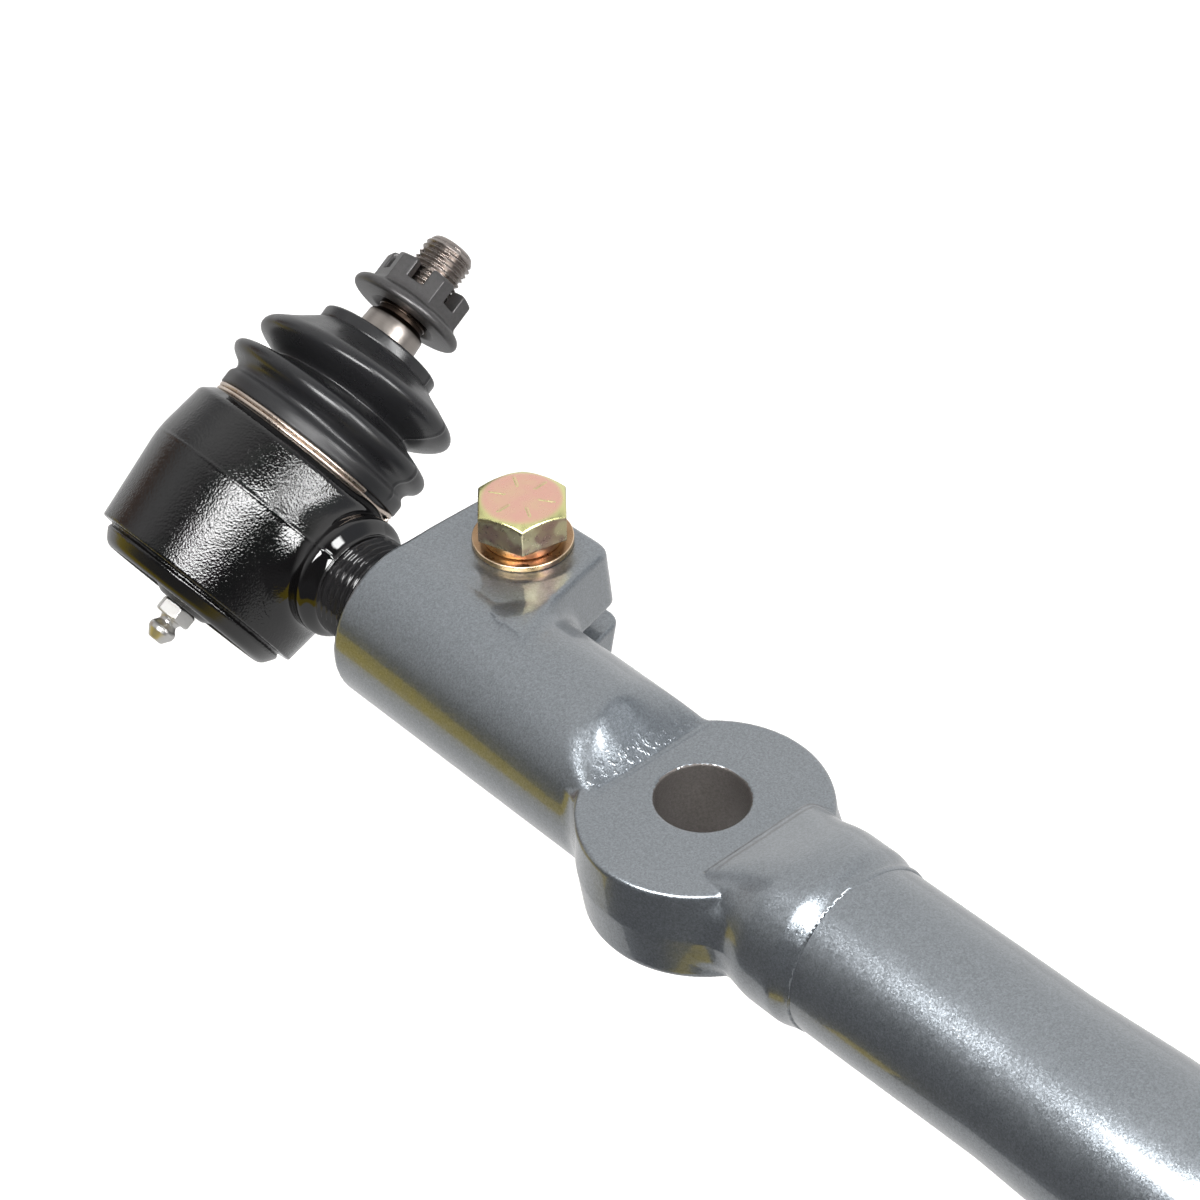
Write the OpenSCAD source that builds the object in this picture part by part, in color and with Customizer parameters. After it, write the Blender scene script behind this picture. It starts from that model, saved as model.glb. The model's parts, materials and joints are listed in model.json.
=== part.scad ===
// Adjustable end of a steering tie rod: a ball-joint socket screwed into a split clamp
// that is forged in one with an eye and welded to a tube.
// Origin: centre of the eye's bore. +Z runs along that bore, +X along the bar to the tube.

/* [Tube] */
// Outside diameter of the tube
tube_d = 38.1; // [36:0.1:40]
// Thickness of the tube's wall
tube_wall = 4.76; // [3:0.01:6]
// Outside diameter of the tube's widened end
tube_end_d = 40.6; // [40.2:0.1:44]
// X where the tube starts to widen
swage_x = 94; // [80:1:110]
// Length over which the tube widens
swage_l = 22; // [10:1:30]
// X of the tube's open end
tube_end_x = 156; // [140:1:200]

/* [Eye] */
// Radius of the eye's bore
eye_bore_r = 10; // [8:0.1:11]
// Radius of the eye's outside
eye_r = 27.3; // [26:0.1:31]
// How far the eye's outside is set towards the tube from its bore
eye_shift = 3; // [0:0.1:4]
// How far the outside of the eye is set away from the ears from its bore
eye_side = 1.2; // [0:0.1:2]
// Thickness of the eye between its two flats
eye_t = 21.2; // [18:0.1:26]
// X of the flat's foot on the clamp's side
flat_x0 = -15; // [-18:0.5:-13]
// X of the flat's foot on the tube's side
flat_x1 = 16.6; // [14:0.1:20]
// Radius of the neck behind the eye
neck_r = 20.6; // [19.5:0.1:22]

/* [Clamp] */
// Radius of the clamp's barrel
barrel_r = 19.5; // [18.5:0.1:21]
// X of the clamp's end face
clamp_x0 = -96.5; // [-100:0.5:-92]
// X where the ears end
ear_x1 = -60.5; // [-64:0.5:-58]
// Distance from the bar's axis to the ears' outer edge
ear_y = 33.6; // [32:0.1:36]
// Width of the slit between the ears
slit_w = 6.4; // [2:0.1:8]
// Height of the slit's middle above the bar's axis
slit_z = 0; // [-2:0.1:5]
// X of the clamp bolt
bolt_x = -79.6; // [-82:0.1:-77]
// Y of the clamp bolt
bolt_y = 21.6; // [20.5:0.1:22]

/* [Clamp bolt] */
// Diameter of the bolt's shank
bolt_d = 12.7; // [12:0.1:13]
// Size of the bolt's head across its flats
bolt_af = 19.05; // [18:0.05:20]
// Height of the bolt's head
bolt_head_h = 7.2; // [6:0.1:8.5]
// Outside diameter of the flat washers
washer_d = 22.2; // [21.5:0.1:23]
// Thickness of a flat washer
washer_t = 1.5; // [1:0.1:2]
// Thickness of the lock washer
lock_t = 2.6; // [2:0.1:3.2]

/* [Socket] */
// X of the ball's centre
socket_x = -148.35; // [-152:0.05:-146]
// Angle of the socket's axis from +Z towards +Y
socket_turn = 57.3; // [0:0.1:90]
// Radius of the socket where its two halves of the forging die met
body_r = 29.6; // [28:0.1:31]
// Radius of the socket's rim beside the cover
rim_r = 26.9; // [26:0.1:27.5]
// Outside diameter of the screwed shank
shank_d = 25.4; // [24:0.1:25.4]
// Pitch of the shank's thread
shank_pitch = 1.814; // [1.5:0.001:2.2]

/* [Ball and stud] */
// Radius of the ball
ball_r = 14; // [13:0.1:14.5]
// How far the stud leans in its socket at rest
stud_lean = 5.2; // [0:0.1:6]
// Direction of that lean, from +X
lean_dir = 151.7; // [0:0.1:360]
// Radius of the stud's taper where it is thickest
taper_r = 8.7; // [8:0.05:9]
// Diameter of the stud's thread
thread_d = 12.7; // [12:0.1:13]
// Pitch of the stud's thread
thread_pitch = 1.411; // [1.2:0.001:1.5]

/* [Boot] */
// Outside radius of the boot's base band
base_r = 25.2; // [24.5:0.1:25.6]
// Outside radius of the lower fold
fold1_r = 27.6; // [25:0.1:28]
// Outside radius of the upper fold
fold2_r = 26.4; // [23:0.1:27]
// Outside radius of the boot's collar
collar_r = 15.6; // [13:0.1:16.5]
// Thickness of the rubber
rubber_t = 2; // [1.5:0.1:2.2]

/* [Hidden] */
$fn = 72;

// Gaps between pieces
run_gap = 0.05;
free_gap = 0.3;
cut = 1;                                 // how far a cutting shape runs past what it cuts

// Bar
tube_r = tube_d / 2;
tube_end_r = tube_end_d / 2;
weld_x = 43;                             // X of the weld's root
weld_root_r = 16.4;                      // radius of the weld's root
weld_proud = 0.4;                        // how far the weld's edges stand above the tube
spigot_r = tube_r - tube_wall - run_gap; // the neck's spigot inside the tube
spigot_x = 56;
neck_x0 = 24;                            // X where the neck starts to swell
bead_x0 = weld_x - 3;
bead_x1 = weld_x + 2.6;
shank_r = shank_d / 2;
shank_x1 = -50;                          // X of the shank's inner end
clamp_bore_x1 = -45;                     // X of the clamp bore's blind end
ear_corner_r = 5;
slit_x1 = ear_x1 + 4;
bolt_hole_r = bolt_d / 2 + 0.25;
bolt_r = bolt_d / 2;
nut_h = 11;
bolt_turn = -42.4;                       // direction of one corner of the bolt's head
bolt_tip_z = -barrel_r - washer_t - nut_h - 4;
head_z = barrel_r + washer_t + lock_t;   // underside of the bolt's head
washer_face_t = 0.4;

// Heights along the socket's own axis, from the ball's centre
lip_h = -27.4;                           // lowest edge of the rolled lip
plate_h0 = -26.6;                        // the cover plate's outer face
plate_h1 = -24.1;                        // the cover plate's inner face
rim_h = -23;
part_h = 0.5;                            // height of the die's parting line
shoulder_h = 14.1;
neck_h0 = 16;
neck_h1 = 19.6;
lip_h0 = 44;                             // underside of the boot's collar
lip_ring_r0 = 10.6;
lip_ring_r1 = 12.6;
lip_ring_h = 1.4;
collar_h0 = 45.9;
collar_h1 = 48.4;
plate_r = 21.6;
cavity_r = 19.6;
neck_out_r = 21.3;
neck_in_r = 16.4;
seat_gap = 0.1;
ring_wire_r = 0.55;
ring_h = 16.55;
boss_r = 6.5;                            // the plate's raised centre
boss_h = -28.5;
nipple_thread_r = 3;
nipple_hex_t = 3.6;
nipple_l = 9.7;                          // from the boss to the nipple's tip
nipple_bore_r = 1.2;
mouth_r = 0.8;                           // radius of the nipple's mouth
mouth_t = 1.4;                           // length of the nipple's mouth
check_ball_r = 1.05;
check_ball_in = 2.3;                     // how far the check ball's centre lies behind the tip

// Heights along the stud
waist_r = 7.2;
waist_h1 = 29;
taper_h0 = 33;
taper_h1 = 54.6;
nut_h0 = 57;                             // underside of the castle nut's flange
nut_h1 = 68.7;
tip_h = 77.8;
crest_h = 75.5;                          // upper end of the full thread
pin_hole_h = 72;
pin_hole_r = 1.6;
pin_hole_dir = -42;
relief_r = 6.1;
tip_r = 5;
nut_turn = -36;

module along_x() rotate([0, 90, 0]) rotate_extrude() children();

module in_socket() translate([socket_x, 0, 0]) rotate([-socket_turn, 0, 0]) children();

// Leans its children by part of the stud's own lean
module leaned(share) {
  rotate([0, 0, lean_dir]) rotate([0, share * stud_lean, 0]) rotate([0, 0, -lean_dir]) children();
}

module in_stud() in_socket() leaned(1) children();

// Outline of a row of V-shaped thread grooves up one side of a shaft, from height h0
function grooves(r, depth, pitch, h0, count) =
  [for (i = [0 : count - 1]) each [
    [r, h0 + i * pitch], [r, h0 + i * pitch + 0.12 * pitch],
    [r - depth, h0 + i * pitch + 0.52 * pitch], [r - depth, h0 + i * pitch + 0.6 * pitch]
  ]];

module hex_prism(af, h) cylinder(r = af / 2 / cos(30), h = h, $fn = 6);

// A hexagon whose upper corners are cut back by a cone
module hex_head(af, h) {
  intersection() {
    hex_prism(af, h);
    rotate_extrude() polygon([[0, 0], [af, 0], [af, h - 0.5 * af * 0.6], [af / 2 * 0.95, h], [0, h]]);
  }
}

module ring(r_out, r_in, h) {
  difference() {
    cylinder(r = r_out, h = h);
    translate([0, 0, -cut]) cylinder(r = r_in, h = h + 2 * cut);
  }
}

// ---- Bar ----

module ear_plan() {
  ear_l = ear_x1 - clamp_x0;
  translate([clamp_x0, 0]) {
    square([ear_l, ear_y - ear_corner_r]);
    translate([ear_corner_r, 0]) square([ear_l - 2 * ear_corner_r, ear_y]);
    for (x = [ear_corner_r, ear_l - ear_corner_r])
      translate([x, ear_y - ear_corner_r]) circle(r = ear_corner_r);
  }
}

// Outline, in X and Z, of what is cut away above one flat of the eye
module flat_cutter() {
  rise = barrel_r + 8 - eye_t / 2;
  rotate([90, 0, 0])
    linear_extrude(height = 4 * barrel_r, center = true)
      polygon([
        [flat_x0, eye_t / 2], [flat_x1, eye_t / 2],
        [flat_x1 + 0.45 * rise, eye_t / 2 + rise], [flat_x0 - rise, eye_t / 2 + rise]
      ]);
}

module clamp_eye_forging() {
  edge = 1;
  end_edge = 0.5;
  waist_r = neck_r - 1;
  color("#75808a") difference() {
    union() {
      along_x() polygon([
        [0, clamp_x0], [barrel_r - end_edge, clamp_x0], [barrel_r, clamp_x0 + end_edge],
        [barrel_r, flat_x0 + 5], [0, flat_x0 + 5]
      ]);
      translate([eye_shift, -eye_side, -eye_t / 2]) rotate_extrude() polygon([
        [0, 0], [eye_r - edge, 0], [eye_r, edge], [eye_r, eye_t - edge], [eye_r - edge, eye_t], [0, eye_t]
      ]);
      along_x() polygon([
        [0, 0], [waist_r, 0], [waist_r, neck_x0], [neck_r, neck_x0 + 4], [neck_r, bead_x0 - 4],
        [tube_r + weld_proud, bead_x0], [weld_root_r, weld_x], [spigot_r, weld_x], [spigot_r, spigot_x - 2],
        [spigot_r - 2, spigot_x], [0, spigot_x]
      ]);
      translate([0, 0, -barrel_r]) linear_extrude(height = 2 * barrel_r) ear_plan();
    }
    for (side = [0, 1]) mirror([0, 0, side]) flat_cutter();
    translate([0, 0, -barrel_r]) cylinder(r = eye_bore_r, h = 2 * barrel_r);
    translate([clamp_x0 - cut, 0, 0]) rotate([0, 90, 0])
      cylinder(r = shank_r + run_gap, h = clamp_bore_x1 - clamp_x0 + cut);
    translate([clamp_x0 - cut, 0, slit_z - slit_w / 2])
      cube([slit_x1 - clamp_x0 + cut, ear_y + cut, slit_w]);
    translate([bolt_x, bolt_y, -barrel_r - cut]) cylinder(r = bolt_hole_r, h = 2 * barrel_r + 2 * cut);
  }
}

module weld_bead() {
  color("#6f7a84") along_x() polygon([
    [weld_root_r, weld_x], [tube_r + weld_proud, bead_x0], [tube_r + 2 * weld_proud, bead_x0 + 1.4],
    [tube_r + 2 * weld_proud, bead_x0 + 3], [tube_r + weld_proud, bead_x1 - 1], [tube_r, bead_x1]
  ]);
}

module bar_tube() {
  swage_x1 = swage_x + swage_l;
  color("#75808a") along_x() polygon([
    [tube_r - tube_wall, weld_x], [weld_root_r, weld_x], [tube_r, bead_x1], [tube_r, swage_x],
    [tube_end_r, swage_x1], [tube_end_r, tube_end_x - 1], [tube_end_r - 1, tube_end_x],
    [tube_end_r - tube_wall, tube_end_x], [tube_end_r - tube_wall, swage_x1], [tube_r - tube_wall, swage_x]
  ]);
}

module at_bolt(z) translate([bolt_x, bolt_y, z]) children();

module clamp_bolt() {
  shank_l = head_z - bolt_tip_z;
  color("#cfa98c") at_bolt(bolt_tip_z) {
    rotate_extrude() polygon([[0, 0], [bolt_r - 1, 0], [bolt_r, 1], [bolt_r, shank_l], [0, shank_l]]);
    translate([0, 0, shank_l]) cylinder(r = 0.47 * bolt_af, h = washer_face_t);
    translate([0, 0, shank_l + washer_face_t]) rotate([0, 0, bolt_turn]) hex_head(bolt_af, bolt_head_h);
  }
}

// Compact spring washer with its one split
module lock_washer() {
  lock_r = 8.9;
  split_w = 1;
  color("#c9893f") at_bolt(barrel_r + washer_t) difference() {
    ring(lock_r, bolt_r + 0.15, lock_t);
    rotate([0, 0, 60]) translate([0, -split_w / 2, -cut]) cube([lock_r + cut, split_w, lock_t + 2 * cut]);
  }
}

module clamp_washers() {
  color("#d8a765") for (z = [barrel_r, -barrel_r - washer_t])
    at_bolt(z) ring(washer_d / 2, bolt_r + 0.3, washer_t);
}

module clamp_nut() {
  color("#cfb06a") at_bolt(-barrel_r - washer_t) rotate([180, 0, 0]) difference() {
    hex_head(bolt_af, nut_h);
    translate([0, 0, -cut]) cylinder(r = bolt_r + run_gap, h = nut_h + 2 * cut);
  }
}

// ---- Socket ----

module socket_housing() {
  fillet_x = -111.5 - socket_x;
  thread_n = 10;
  groove_d = 0.9;
  thread_x1 = fillet_x + thread_n * shank_pitch;
  color("#17181a") in_socket() difference() {
    union() {
      rotate_extrude() polygon([
        [0, lip_h], [22.4, lip_h], [25, rim_h - 1], [rim_r - 0.6, rim_h - 0.8], [rim_r, rim_h],
        [body_r, part_h],
        [28, shoulder_h], [25.6, neck_h0 - 0.2], [neck_out_r, neck_h0 - 0.2], [neck_out_r, neck_h1],
        [0, neck_h1]
      ]);
      rotate([0, 90, 0]) rotate_extrude() polygon(concat(
        [[0, 0], [15.6, 0], [15.6, 28], [15, 31], [14.3, 34.2], [shank_r, fillet_x]],
        grooves(shank_r, groove_d, shank_pitch, fillet_x, thread_n),
        [[shank_r, thread_x1], [shank_r, shank_x1 - socket_x - 1.5], [shank_r - 1.5, shank_x1 - socket_x],
         [0, shank_x1 - socket_x]]
      ));
    }
    // Room for the seats, the cover plate and the stud
    rotate_extrude() polygon([
      [0, lip_h - cut], [20.2, lip_h - cut], [20.2, plate_h0 - 0.1], [plate_r + 0.1, plate_h0 - 0.1],
      [plate_r + 0.1, plate_h1], [cavity_r, plate_h1], [cavity_r, 13], [neck_in_r, 13],
      [neck_in_r, neck_h1 + cut], [0, neck_h1 + cut]
    ]);
  }
}

module cover_plate() {
  color("#1d1e20") in_socket() difference() {
    rotate_extrude() polygon([
      [0, boss_h], [boss_r - 1, boss_h], [boss_r, boss_h + 0.8], [boss_r + 2.5, plate_h0],
      [plate_r, plate_h0],
      [plate_r, plate_h1 - 0.05], [0, plate_h1 - 0.05]
    ]);
    translate([0, 0, boss_h - cut]) cylinder(r = nipple_thread_r + run_gap, h = plate_h1 - boss_h + 2 * cut);
  }
}

// Rubber ring in the corner under the cover plate
module cover_seal() {
  seal_r = 0.9;
  color("#101010") in_socket()
    translate([0, 0, plate_h1 + seal_r + 0.05])
      rotate_extrude() translate([cavity_r - seal_r - 0.05, 0]) circle(r = seal_r, $fn = 24);
}

// Round spring wire wound twice round the boot's foot
module boot_wire_ring() {
  color("#b59a82") in_socket() for (turn = [0, 1])
    translate([0, 0, ring_h + turn * 1.9 * ring_wire_r])
      rotate_extrude() translate([base_r - 0.1 - ring_wire_r, 0]) circle(r = ring_wire_r, $fn = 24);
}

module grease_fitting() {
  hex_af = 7.94;
  head_l = nipple_l - nipple_hex_t;
  color("#c9ccce") in_socket() translate([0, 0, boss_h]) rotate([180, 0, 0]) difference() {
    union() {
      translate([0, 0, boss_h - plate_h1]) cylinder(r = nipple_thread_r, h = plate_h1 - boss_h);
      rotate([0, 0, 12]) hex_prism(hex_af, nipple_hex_t);
      translate([0, 0, nipple_hex_t]) rotate_extrude() polygon([
        [0, 0], [2.6, 0], [2.2, 1.5], [2.4, 2.3], [3.3, 3.6], [3.2, 4.3], [1.9, head_l], [0, head_l]
      ]);
    }
    translate([0, 0, boss_h - plate_h1 - cut]) {
      cylinder(r = nipple_bore_r, h = plate_h1 - boss_h + cut + nipple_l - mouth_t);
      cylinder(r = mouth_r, h = plate_h1 - boss_h + 2 * cut + nipple_l);
    }
  }
}

module in_nipple(depth) in_socket() translate([0, 0, boss_h - nipple_l + depth]) children();

module grease_check_ball() color("#d5d7d9") in_nipple(check_ball_in) sphere(r = check_ball_r);

// Wire coil behind the ball, drawn as the tube it fills
module grease_check_spring() {
  spring_l = 4;
  color("#a8abad") in_nipple(check_ball_in + check_ball_r + run_gap) ring(check_ball_r, 0.6, spring_l);
}

// ---- Seats ----

module upper_seat() {
  color("#e2ddcf") in_socket() difference() {
    rotate_extrude() polygon([
      [0, 0.3], [cavity_r - seat_gap, 0.3], [cavity_r - seat_gap, 12.9], [13.8, 12.9], [10.8, 7.6], [0, 7.6]
    ]);
    sphere(r = ball_r + seat_gap);
    cylinder(r = 11.2, h = 9);
  }
}

module lower_seat() {
  color("#e2ddcf") in_socket() difference() {
    rotate_extrude() polygon([
      [0, -17.5], [15, -17.5], [cavity_r - seat_gap, -13], [cavity_r - seat_gap, -2.5], [0, -2.5]
    ]);
    sphere(r = ball_r + seat_gap);
    translate([0, 0, -18.5]) cylinder(r = 2.5, h = 6);
  }
}

// Dished spring plate that keeps the seats tight on the ball
module preload_spring() {
  color("#8f9396") in_socket() rotate_extrude() polygon([
    [8, -19.2], [8, -17.9], [9.4, -17.9], [17, -21.8], [17.6, -23.9], [16.4, -23.9]
  ]);
}

// ---- Boot ----

// One fold: rubber from a valley out over a rounded crest and back to the next valley
module fold(r_in0, h0, r_out, h_mid, r_in1, h1) {
  t = rubber_t;
  crest = 2.6;
  inner = crest - t;
  rotate_extrude() polygon(concat(
    [[r_in0 - t, h0], [r_in0, h0]],
    [for (a = [-70 : 14 : 70]) [r_out - crest + crest * cos(a), h_mid + crest * sin(a)]],
    [[r_in1, h1], [r_in1 - t, h1]],
    [for (a = [70 : -35 : -70]) [r_out - crest + inner * cos(a), h_mid + inner * sin(a)]]
  ));
}

module dust_boot() {
  foot_in_r = neck_out_r + free_gap;
  ring_bed_r = base_r - 2 * ring_wire_r - 0.3;
  ring_bed_h = 18.3;
  band_h = 21.4;
  foot_h = 22.6;
  color("#1b1b1c") difference() {
    union() {
      in_socket() {
        rotate_extrude() polygon([
          [foot_in_r, neck_h0], [ring_bed_r, neck_h0], [ring_bed_r, ring_bed_h], [base_r, ring_bed_h],
          [base_r, band_h], [24.3, foot_h], [foot_in_r, foot_h]
        ]);
        leaned(0.3) fold(24.2, foot_h - 0.4, fold1_r, 26.8, 19.2, 31);
        leaned(1.3) fold(19, 30.6, fold2_r, 37.1, 15, collar_h0 - 0.5);
      }
      in_stud() rotate_extrude() polygon([
        [taper_r - 0.35, lip_h0], [14.6, lip_h0], [14.6, collar_h0], [collar_r, collar_h0],
        [collar_r, collar_h1], [taper_r - 0.55, collar_h1]
      ]);
    }
    in_stud() translate([0, 0, lip_h0 - cut]) ring(lip_ring_r1, lip_ring_r0, lip_ring_h + cut);
  }
}

// Steel ring moulded into the underside of the boot's collar
module boot_lip_ring() {
  color("#9a9c9e") in_stud() translate([0, 0, lip_h0]) ring(lip_ring_r1, lip_ring_r0, lip_ring_h);
}

// ---- Stud ----

module ball_stud() {
  thread_r = thread_d / 2;
  first_h = 61.1;
  count = 10;
  color("#9b938c") in_stud() difference() {
    union() {
      sphere(r = ball_r);
      rotate_extrude() polygon(concat(
        [[0, 0], [waist_r, 0], [waist_r, waist_h1], [taper_r, taper_h0],
         [taper_r - (taper_h1 - taper_h0) / 16, taper_h1], [relief_r, taper_h1 + 0.9], [relief_r, nut_h0],
         [thread_r, nut_h0 + 1], [thread_r, first_h]],
        grooves(thread_r, 0.75, thread_pitch, first_h, count),
        [[thread_r, crest_h], [tip_r, tip_h], [0, tip_h]]
      ));
    }
    translate([0, 0, -ball_r - cut]) cylinder(r = 5, h = 2 * cut);
    translate([0, 0, pin_hole_h]) rotate([90, 0, pin_hole_dir])
      cylinder(r = pin_hole_r, h = 3 * thread_r, center = true);
  }
}

module castle_nut() {
  nut_af = 20.6;
  flange_r = 14.5;
  flange_t = 2.4;
  slot_w = 4.3;
  slot_d = 4.9;
  recess_r = 8.4;
  body_h = nut_h1 - nut_h0;
  color("#4d4e50") in_stud() translate([0, 0, nut_h0]) rotate([0, 0, nut_turn]) difference() {
    union() {
      rotate_extrude() polygon([
        [0, 0], [flange_r - 0.5, 0], [flange_r, 0.6], [flange_r, flange_t - 0.7], [flange_r - 0.6, flange_t],
        [nut_af / 2, flange_t + 1.4], [0, flange_t + 1.4]
      ]);
      hex_head(nut_af, body_h);
    }
    translate([0, 0, -cut]) cylinder(r = thread_d / 2 + run_gap, h = body_h + 2 * cut);
    translate([0, 0, -0.01]) rotate_extrude() polygon([[0, 0], [recess_r, 0], [thread_d / 2, 2.2], [0, 2.2]]);
    for (i = [0 : 2]) rotate([0, 0, 60 * i + 30])
      translate([-nut_af, -slot_w / 2, body_h - slot_d]) cube([2 * nut_af, slot_w, slot_d + cut]);
  }
}

clamp_eye_forging();
weld_bead();
bar_tube();
clamp_bolt();
lock_washer();
clamp_washers();
clamp_nut();
socket_housing();
cover_plate();
cover_seal();
boot_wire_ring();
grease_fitting();
grease_check_ball();
grease_check_spring();
upper_seat();
lower_seat();
preload_spring();
dust_boot();
boot_lip_ring();
ball_stud();
castle_nut();
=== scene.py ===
"""Looks of an adjustable tie rod end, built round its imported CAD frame.

Lengths are in mm until a mesh is made. X runs along the bar to the tube, and Z along the eye's bore.
"""
import json
import math
import bpy
import numpy as np
from mathutils import Matrix, Vector


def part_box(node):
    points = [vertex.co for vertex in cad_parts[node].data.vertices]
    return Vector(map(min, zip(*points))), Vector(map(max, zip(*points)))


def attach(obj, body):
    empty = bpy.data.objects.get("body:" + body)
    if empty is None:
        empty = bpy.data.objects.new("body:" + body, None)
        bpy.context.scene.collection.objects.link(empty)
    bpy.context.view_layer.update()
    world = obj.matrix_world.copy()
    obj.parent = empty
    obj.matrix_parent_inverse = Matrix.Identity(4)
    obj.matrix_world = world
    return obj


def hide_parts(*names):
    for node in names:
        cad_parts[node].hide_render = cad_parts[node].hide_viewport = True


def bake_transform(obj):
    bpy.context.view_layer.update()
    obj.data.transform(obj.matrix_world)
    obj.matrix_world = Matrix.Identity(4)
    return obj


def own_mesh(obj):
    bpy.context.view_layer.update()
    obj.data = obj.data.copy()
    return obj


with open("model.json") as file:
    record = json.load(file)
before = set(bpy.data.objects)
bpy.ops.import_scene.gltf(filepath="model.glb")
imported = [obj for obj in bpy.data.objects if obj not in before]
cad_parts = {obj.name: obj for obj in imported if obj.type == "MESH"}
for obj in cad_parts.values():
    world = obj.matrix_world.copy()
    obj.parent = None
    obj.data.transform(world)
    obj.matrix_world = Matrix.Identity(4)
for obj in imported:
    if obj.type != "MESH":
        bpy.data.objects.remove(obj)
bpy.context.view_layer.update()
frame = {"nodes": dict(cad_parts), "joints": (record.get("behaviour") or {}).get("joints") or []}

MM = 0.001
TAU = 2 * math.pi
SOCKET_TURN = -57.3      # degrees from +Z to the socket's axis, about the bar
STUD_LEAN = 5.2          # degrees from the socket's axis to the stud's
LEAN_TOWARDS = 151.7     # direction of that lean, in degrees from +X
PARTING_H = 0.5          # where the halves of the socket's forging meet, above the ball's centre


def turn(axis, degrees):
    return np.array(Matrix.Rotation(math.radians(degrees), 3, axis))


def lean(share):
    """A share of the stud's lean in its socket."""
    return turn("Z", LEAN_TOWARDS) @ turn("Y", STUD_LEAN * share) @ turn("Z", -LEAN_TOWARDS)


def placed(verts, rot=np.eye(3), at=(0, 0, 0)):
    return np.asarray(verts, float) @ rot.T + np.asarray(at, float)


JOINTS = {joint["name"]: joint for joint in frame["joints"]}
BALL = np.round(np.array(JOINTS["stud_tilt"]["pos_m"]) / MM, 3)   # the ball's centre
SOCKET = turn("X", SOCKET_TURN)
STUD = SOCKET @ lean(1)
ALONG_X = turn("Y", 90)


# ---- Mesh making ----

def smin(a, b, k):
    """The lower of two fields, rounded over k where they meet."""
    k = np.maximum(k, 1e-6)
    h = np.maximum(k - np.abs(a - b), 0) / k
    return np.minimum(a, b) - h * h * k * 0.25


def smax(a, b, k):
    """The higher of two fields, rounded over k where they meet."""
    return -smin(-a, -b, k)


def smooth(t):
    t = np.clip(t, 0, 1)
    return t * t * (3 - 2 * t)


def surface(field, low, high, step):
    """Quads on the zero level of field(x, y, z), by surface nets, then moved onto the level exactly."""
    ax = [np.arange(low[k], high[k] + step, step) for k in range(3)]
    f = field(ax[0][:, None, None], ax[1][None, :, None], ax[2][None, None, :])
    n = f.shape
    inside = f < 0
    cells, points, quads_in = [], [], []
    for k in range(3):
        a = [slice(None)] * 3
        b = [slice(None)] * 3
        a[k], b[k] = slice(0, -1), slice(1, None)
        a, b = tuple(a), tuple(b)
        at = np.argwhere(inside[a] != inside[b])
        fa, fb = f[a][tuple(at.T)], f[b][tuple(at.T)]
        p = at.astype(float)
        p[:, k] += fa / (fa - fb)
        u, v = (k + 1) % 3, (k + 2) % 3
        ids = []
        for du, dv in ((0, 0), (1, 0), (1, 1), (0, 1)):
            c = at.copy()
            c[:, u] -= du
            c[:, v] -= dv
            ids.append((c[:, 0] * n[1] + c[:, 1]) * n[2] + c[:, 2])
        ids = np.stack(ids, 1)
        flip = ~inside[a][tuple(at.T)]
        ids[flip] = ids[flip][:, ::-1]
        cells.append(ids)
        points.append(p)
    ids = np.concatenate(cells)
    p = np.concatenate(points)
    known, quads = np.unique(ids.ravel(), return_inverse=True)
    quads = quads.reshape(-1, 4)
    verts = np.zeros((len(known), 3))
    for k in range(3):
        verts[:, k] = np.bincount(quads.ravel(), np.repeat(p[:, k], 4)) / np.bincount(quads.ravel())
    verts = verts * step + np.asarray(low, float)
    e = 0.02 * step

    def slope(q):
        g = [field(*(q + d).T) - field(*(q - d).T) for d in np.eye(3) * e]
        return np.stack(g, 1) / (2 * e)

    for _ in range(4):
        g = slope(verts)
        move = field(*verts.T) / np.maximum((g * g).sum(1), 0.2)
        verts -= np.clip(move, -step / 2, step / 2)[:, None] * g
    g = slope(verts)
    return verts, quads, g / np.linalg.norm(g, axis=1)[:, None]


def soften(corners, steps=4, closed=True):
    """A profile with each corner (r, h, radius) rounded."""
    out = []
    n = len(corners)
    for i, (r, h, c) in enumerate(corners):
        p = np.array([r, h], float)
        if c <= 0 or (not closed and i in (0, n - 1)):
            out.append(p)
            continue
        a = np.array(corners[i - 1][:2], float) - p
        b = np.array(corners[(i + 1) % n][:2], float) - p
        la, lb = np.linalg.norm(a), np.linalg.norm(b)
        d = min(c, 0.48 * la, 0.48 * lb)
        a, b = p + a / la * d, p + b / lb * d
        for t in np.linspace(0, 1, steps + 1):
            out.append((1 - t) ** 2 * a + 2 * t * (1 - t) * p + t * t * b)
    return np.array(out)


def lathe(profile, n=128, closed=True, shape=None, bend=None):
    """Rows of a profile (r, h) turned about Z.

    shape(r, h, angle) may change r, and bend(points, h) moves the points.
    """
    profile = np.asarray(profile, float)
    th = np.arange(n) / n * TAU
    r, h = profile[:, 0][:, None], profile[:, 1][:, None]
    rr = r + 0 * th if shape is None else np.maximum(shape(r, h + 0 * th, th[None, :] + 0 * r), 0)
    verts = np.stack([rr * np.cos(th), rr * np.sin(th), h + 0 * th], 2)
    if bend is not None:
        verts = bend(verts, profile[:, 1])
    m = len(profile)
    i = np.arange(m if closed else m - 1)[:, None]
    j = np.arange(n)[None, :]
    i2, j2 = (i + 1) % m, (j + 1) % n
    quads = np.stack([i * n + j, i * n + j2, i2 * n + j2, i2 * n + j], 2).reshape(-1, 4)
    return verts.reshape(-1, 3), quads


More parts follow.
